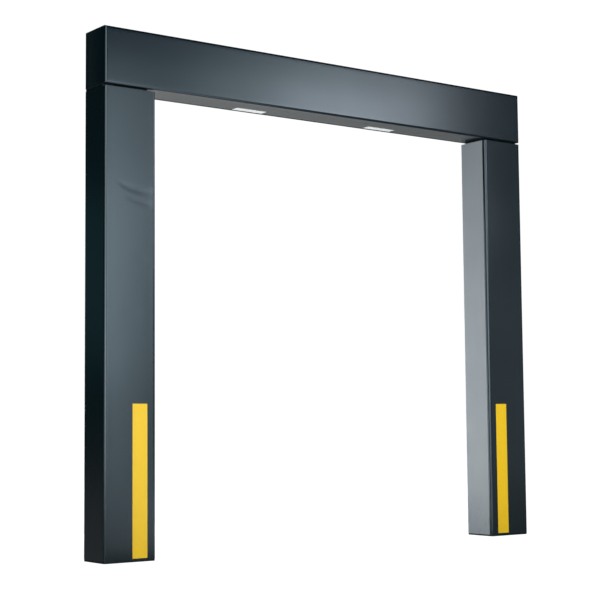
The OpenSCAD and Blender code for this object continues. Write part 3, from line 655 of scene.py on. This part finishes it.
def wave_sheet(bm):
    """Presses the front and rear faces in by slow waves, and holds them flat near their edges."""
    low, high, edge = BEAM_LOW, BEAM_HIGH, EDGE_R
    for vert in bm.verts:
        p = vert.co
        if abs(p.y) <= HALF_D - 1 * MM:
            continue
        hold = plateau(p.z, low.z + edge, low.z + 4 * edge, high.z - 4 * edge, high.z - edge)
        hold *= plateau(p.x, low.x + edge, low.x + 6 * edge, high.x - 6 * edge, high.x - edge)
        if hold:
            ripple = noise.noise(Vector((p.x / 0.35, p.y * 5, p.z / 0.35 * 2)))
            p.y -= math.copysign((BEAM_WAVE + BEAM_WAVE * ripple) * hold, p.y)


def beam_cover(name, low_y, high_y):
    """One cover of the beam: the block between two depths, as a sheet, open at the underside."""
    bm = beam_block()
    if low_y > BEAM_LOW.y:
        cut(bm, (0, low_y, 0), (0, -1, 0))
    if high_y < BEAM_HIGH.y:
        cut(bm, (0, high_y, 0), (0, 1, 0))
    open_underside(bm)
    wave_sheet(bm)
    obj = from_bmesh(name, bm)
    solid = obj.modifiers.new("sheet", "SOLIDIFY")
    solid.thickness = SHEET
    solid.offset = -1
    solid.use_even_offset = True
    apply_modifiers(obj)
    return obj


def screw_places():
    """Middle (x, z) of each screw head of the rear cover, found in the screw group's own mesh."""
    mesh = frame["nodes"]["beam_screws"].data
    head_y = max(v.co.y for v in mesh.vertices) - 0.2 * MM
    screw_spacing = 20 * MM
    heads = []
    for vert in mesh.vertices:
        if vert.co.y < head_y:
            continue
        point = Vector((vert.co.x, vert.co.z))
        head = next((h for h in heads if (h[0] - point).length < screw_spacing), None)
        if head:
            head.append(point)
        else:
            heads.append([point])
    places = []
    for head in heads:
        low = Vector((min(p.x for p in head), min(p.y for p in head)))
        high = Vector((max(p.x for p in head), max(p.y for p in head)))
        places.append((low + high) / 2)
    return places


def drill_screw_holes(obj):
    """Cuts a hole through the rear cover round each screw head."""
    bm = bmesh.new()
    for place in screw_places():
        turn = Matrix.Rotation(math.pi / 2, 4, "X")
        bmesh.ops.create_cone(
            bm, cap_ends=True, segments=32, radius1=SCREW_HOLE_R, radius2=SCREW_HOLE_R,
            depth=SCREW_HOLE_DEPTH, matrix=Matrix.Translation((place.x, HALF_D, place.y)) @ turn,
        )
    cutter = from_bmesh("screw_cutters", bm)
    hole = obj.modifiers.new("hole", "BOOLEAN")
    hole.operation = "DIFFERENCE"
    hole.object = cutter
    hole.solver = "EXACT"
    apply_modifiers(obj)
    bpy.data.objects.remove(cutter)


front_skin = beam_cover("beam_front_skin", cover_low.y, cover_high.y)
smooth(front_skin)
piece(front_skin, "beam_paint", "beam_front_cover")
rear_skin = beam_cover("beam_rear_skin", rear_low.y, rear_high.y)
drill_screw_holes(rear_skin)
smooth(rear_skin)
piece(rear_skin, "beam_paint", "beam_rear_cover")

# ---------------------------------------------------------------- signal lamps

LENS_FLANGE = 4.3 * MM
LENS_RIBS = 16
RIB_STEPS = 6
RIB_DEPTH = 0.35 * MM


def lamp_window(name):
    """Opal lens: a flanged plate whose visible face carries fine ribs along its length."""
    low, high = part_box(f"{name}_lamp_lens")
    shelf = underside_high.z
    x0, x1 = low.x + LENS_FLANGE, high.x - LENS_FLANGE
    y0, y1 = low.y + LENS_FLANGE, high.y - LENS_FLANGE
    section = []
    for i in range(LENS_RIBS * RIB_STEPS + 1):
        t = i / (LENS_RIBS * RIB_STEPS)
        rise = RIB_DEPTH * (1 - math.cos(2 * math.pi * t * LENS_RIBS)) / 2
        section.append((y0 + (y1 - y0) * t, low.z + rise))
    section += [(y1, shelf), (high.y, shelf), (high.y, high.z)]
    section += [(low.y, high.z), (low.y, shelf), (y0, shelf)]
    bm = bmesh.new()
    rings = [[bm.verts.new((x, y, z)) for y, z in section] for x in (x0, x1)]
    bridge(bm, rings)
    for ring in rings:
        bm.faces.new(ring)
    for a, b in ((low.x, x0), (x1, high.x)):
        middle = Matrix.Translation(((a + b) / 2, (low.y + high.y) / 2, (shelf + high.z) / 2))
        scale = Matrix.Diagonal((b - a, high.y - low.y, high.z - shelf, 1))
        bmesh.ops.create_cube(bm, size=1, matrix=middle @ scale)
    obj = from_bmesh(f"{name}_lamp_window", bm)
    smooth(bevel(obj, 0.3 * MM, 2, 50))
    piece(obj, "lamp_lens", f"{name}_lamp_lens")


for lamp in SIDES:
    lamp_window(lamp)

# ---------------------------------------------------------------- carried-over CAD nodes

# Words in the names of the small nodes, whose edges are rounded less
SMALL = ("screws", "hinge", "lock", "module", "bolts")


def soften(obj, width):
    """Makes one clean mesh of the CAD faces, and rounds its sharp edges a little.

    The weld joins doubled corner points, and the decimation only merges triangles in one plane.
    """
    weld = obj.modifiers.new("weld", "WELD")
    weld.merge_threshold = 0.01 * MM
    flat = obj.modifiers.new("flat", "DECIMATE")
    flat.decimate_type = "DISSOLVE"
    flat.angle_limit = math.radians(0.5)
    bevel(obj, width, 2, 40)
    weigh_normals(obj)
    obj.data.shade_smooth()


for row in frame["record"]["subparts"]:
    node = frame["nodes"][row["node"]]
    if node.hide_render:
        continue
    paint(node, row["material_slot"])
    is_small = any(word in row["node"] for word in SMALL)
    soften(node, 0.2 * MM if is_small else 0.4 * MM)

# ---------------------------------------------------------------- camera

CAMERA_AT = Vector((-4.4418, -5.7858, 0.6000))
YAW, PITCH, ROLL = math.radians(36.3969), math.radians(4.9250), math.radians(-0.4916)
FOCAL_LENGTH = 90.49


def make_camera():
    data = bpy.data.cameras.new("camera")
    data.lens = FOCAL_LENGTH
    data.sensor_width = 36
    data.clip_end = 200
    camera = bpy.data.objects.new("camera", data)
    level = math.cos(PITCH)
    ahead = Vector((math.sin(YAW) * level, math.cos(YAW) * level, math.sin(PITCH)))
    right = Vector((math.cos(YAW), -math.sin(YAW), 0))
    up = right.cross(ahead)
    right_rolled = right * math.cos(ROLL) + up * math.sin(ROLL)
    up_rolled = up * math.cos(ROLL) - right * math.sin(ROLL)
    turn = Matrix((right_rolled, up_rolled, -ahead)).transposed().to_4x4()
    camera.matrix_world = Matrix.Translation(CAMERA_AT) @ turn
    bpy.context.scene.collection.objects.link(camera)
    bpy.context.scene.camera = camera


make_camera()

# ---------------------------------------------------------------- stage
# The camera sees the white floor and backdrop. The gate mirrors the darker bounce and patches.

WHITE = (1, 1, 1)
BOUNCE = (1.0, 0.99, 0.96)
PATCH = (1.0, 0.99, 0.97)

# Brighter patches of the studio floor: centre (x, y), radius, radiance at the middle and at the rim
FLOOR_PATCHES = {
    "front": ((0.1, -1.0), 1.1, 1.5, 0.7),
    "front_left": ((-1.5, -2.4), 0.8, 3.4, 2.0),
    "rear": ((1.8, 3.2), 2.0, 2.2, 1.0),
    "rear_left": ((-0.3, 2.6), 1.2, 2.4, 1.0),
    "rear_far": ((-0.5, 7.0), 2.0, 2.8, 1.4),
    "far": ((6.0, 8.0), 3.5, 0.45, 0.45),
}


def glow(name, colour, albedo=0.0, strength=1.0):
    """Matt surface that gives light of one strength all over."""
    material, _, shader = node_tree(name)
    shader.inputs["Base Color"].default_value = (albedo, albedo, albedo, 1)
    shader.inputs["Roughness"].default_value = 1.0
    shader.inputs["Specular IOR Level"].default_value = 0.0
    shader.inputs["Emission Color"].default_value = (*colour, 1)
    shader.inputs["Emission Strength"].default_value = strength
    return material


def fading_glow(name, colour, albedo, centre, middle, rim, radius, reach):
    """Glow whose strength goes from the middle's to the rim's between two distances from a point."""
    material = glow(name, colour, albedo)
    tree = material.node_tree
    shader = tree.nodes["Principled BSDF"]
    place = add(tree, "ShaderNodeTexCoord")
    away = add(tree, "ShaderNodeVectorMath", operation="DISTANCE")
    tree.links.new(place.outputs["Object"], away.inputs[0])
    away.inputs[1].default_value = (*centre, 0)
    fade = remap(tree, away.outputs["Value"], radius, reach, middle, rim)
    fade.node.interpolation_type = "SMOOTHSTEP"
    tree.links.new(fade, shader.inputs["Emission Strength"])
    return material


def disc(radius, centre):
    bm = bmesh.new()
    bmesh.ops.create_circle(bm, cap_ends=True, segments=64, radius=radius)
    bmesh.ops.translate(bm, vec=centre, verts=bm.verts)
    return bm


def dome(radius):
    bm = bmesh.new()
    bmesh.ops.create_uvsphere(bm, u_segments=48, v_segments=24, radius=radius)
    return bm


def stage_piece(name, bm, material, seen):
    """Part of the stage: either the camera sees it, or it only lights and mirrors in the gate."""
    obj = from_bmesh(name, bm)
    obj.data.materials.append(material)
    obj.data.shade_smooth()
    obj.visible_camera = seen
    obj.visible_diffuse = not seen
    obj.visible_glossy = not seen
    obj.visible_shadow = False


floor_white = fading_glow("floor_white", WHITE, 0.25, (0, 0), 1.0, 1.03, 1.5, 3.5)
stage_piece("floor", disc(40, (0, 0, -0.5 * MM)), floor_white, seen=True)
stage_piece("backdrop", dome(60), glow("backdrop_white", WHITE, 0.0, 1.02), seen=True)
bounce_grey = glow("bounce_grey", BOUNCE, 0.30, 0.12)
stage_piece("floor_bounce", disc(12, (0, 0, -2 * MM)), bounce_grey, seen=False)
for patch, (patch_at, patch_r, middle, rim) in FLOOR_PATCHES.items():
    shine = fading_glow(f"patch_{patch}", PATCH, 0.30, patch_at, middle, rim, 0.0, patch_r)
    stage_piece(f"floor_patch_{patch}", disc(patch_r, (*patch_at, -1 * MM)), shine, seen=False)

# ---------------------------------------------------------------- lights

COOL = (0.93, 0.97, 1.0)
COLD = (0.84, 0.97, 1.0)
TEAL = (0.35, 0.9, 1.0)
FRONT_Y = -4.3

# Softboxes in front of the gate: centre (x, z), size, radiance
FRONT_BOXES = {
    "column_main": ((0.8, 1.7), (1.0, 1.6), 5.8),
    "column_low": ((0.8, 0.5), (1.0, 0.8), 2.9),
    "column_high": ((0.8, 2.9), (1.0, 0.8), 3.9),
    "column_left": ((0.0, 1.7), (1.0, 1.6), 2.5),
    "column_left_low": ((0.0, 0.5), (1.0, 0.8), 1.8),
    "wide_low": ((-1.5, 0.9), (2.0, 1.6), 1.6),
    "wide_high": ((-1.25, 2.5), (2.5, 1.6), 0.9),
    "beam_main": ((3.1, 2.8), (1.2, 0.5), 8.8),
    "beam_low": ((3.1, 2.3), (1.2, 0.5), 5.0),
    "beam_high": ((3.6, 3.3), (1.2, 0.5), 9.6),
    "beam_left": ((2.5, 3.3), (1.2, 0.5), 4.6),
    "beam_left_low": ((2.2, 2.4), (0.6, 1.0), 2.4),
    "beam_right": ((4.0, 2.8), (0.6, 0.5), 4.5),
    "beam_right_low": ((4.3, 2.3), (1.2, 0.5), 1.8),
    "right_low": ((5.25, 1.0), (1.2, 2.0), 0.7),
}

# Softboxes that only show as highlights, on the left column's edges and the beam's lower edge:
# centre, target, size, radiance
EDGE_BOXES = {
    "edge_near": ((-3.4, -3.6, 2.0), (-1.28, -0.1, 1.6), (2.2, 3.8), 3.6),
    "edge_far": ((-4.9, -2.0, 2.0), (-1.28, -0.1, 1.6), (1.8, 3.8), 3.0),
    "lower_edge": ((0.9, -2.4, 0.01), (0.9, -2.4, 1.0), (1.4, 1.6), 3.5),
}

# Softboxes round the gate: centre, target, size, radiance, colour
ROUND_BOXES = {
    "side_near": ((-6.5, -0.5, 1.0), (-1.28, 0, 1.2), (1.5, 2.0), 1.5, COOL),
    "side_far": ((-6.5, -3.5, 1.0), (-1.28, 0, 1.2), (1.5, 2.0), 0.8, COOL),
    "side_right": ((6.5, 0.5, 1.0), (1.28, 0, 1.2), (1.3, 2.0), 1.8, COOL),
    "side_rear": ((-5.0, 6.8, 2.0), (-1.28, 0, 1.2), (2.5, 1.6), 0.13, TEAL),
    "front_fill": ((-4.5, -7.5, 2.6), (0, 0, 0.9), (4.0, 3.0), 4.1, WHITE),
    "passage_high": ((-0.35, 1.7, 1.5), (1.05, 0, 1.5), (1.3, 1.0), 2.6, COOL),
    "passage_low": ((-0.35, 1.7, 0.5), (1.05, 0, 0.6), (1.3, 1.0), 4.2, COOL),
    "rear_right": ((4.0, 5.5, 4.2), (0, 0, 1.2), (3.0, 2.0), 2.2, COOL),
    "rear_middle": ((0.3, 8.0, 1.7), (0, 0, 1.2), (3.2, 2.8), 1.5, COOL),
}


def softbox(name, centre, target, size, radiance, colour, diffuse=True):
    """Rectangular light whose face has the given radiance. Without diffuse it is only a highlight."""
    data = bpy.data.lights.new(name, "AREA")
    data.shape = "RECTANGLE"
    data.size, data.size_y = size
    data.energy = radiance * math.pi * size[0] * size[1]
    data.color = colour
    obj = bpy.data.objects.new(name, data)
    obj.location = centre
    obj.rotation_mode = "QUATERNION"
    obj.rotation_quaternion = (Vector(target) - Vector(centre)).to_track_quat("-Z", "Y")
    obj.visible_camera = False
    obj.visible_diffuse = diffuse
    bpy.context.scene.collection.objects.link(obj)


def front_softbox(name, x, z, size, radiance):
    """Softbox in front of the gate, turned a little towards its left column."""
    aim_z = 2.2 if name.startswith("beam") else 1.1
    colour = COOL if x > 2.6 else COLD
    softbox(name, (x, FRONT_Y, z), (x * 0.3 - 0.6, 0, aim_z), size, radiance, colour)


for box, ((box_x, box_z), box_size, box_radiance) in FRONT_BOXES.items():
    front_softbox(box, box_x, box_z, box_size, box_radiance)
softbox("edge_fill", (-3.4, -3.4, 0.8), (-1.28, -0.1, 1.4), (1.2, 1.4), 4.5, COLD)
for box, values in EDGE_BOXES.items():
    softbox(box, *values, COLD, diffuse=False)
for box, values in ROUND_BOXES.items():
    softbox(box, *values)

world = bpy.data.worlds.new("studio")
world.use_nodes = True
world.node_tree.nodes["Background"].inputs["Color"].default_value = (0.35, 0.90, 1.0, 1)
world.node_tree.nodes["Background"].inputs["Strength"].default_value = 0.043
bpy.context.scene.world = world
bpy.context.scene.view_settings.view_transform = "Standard"
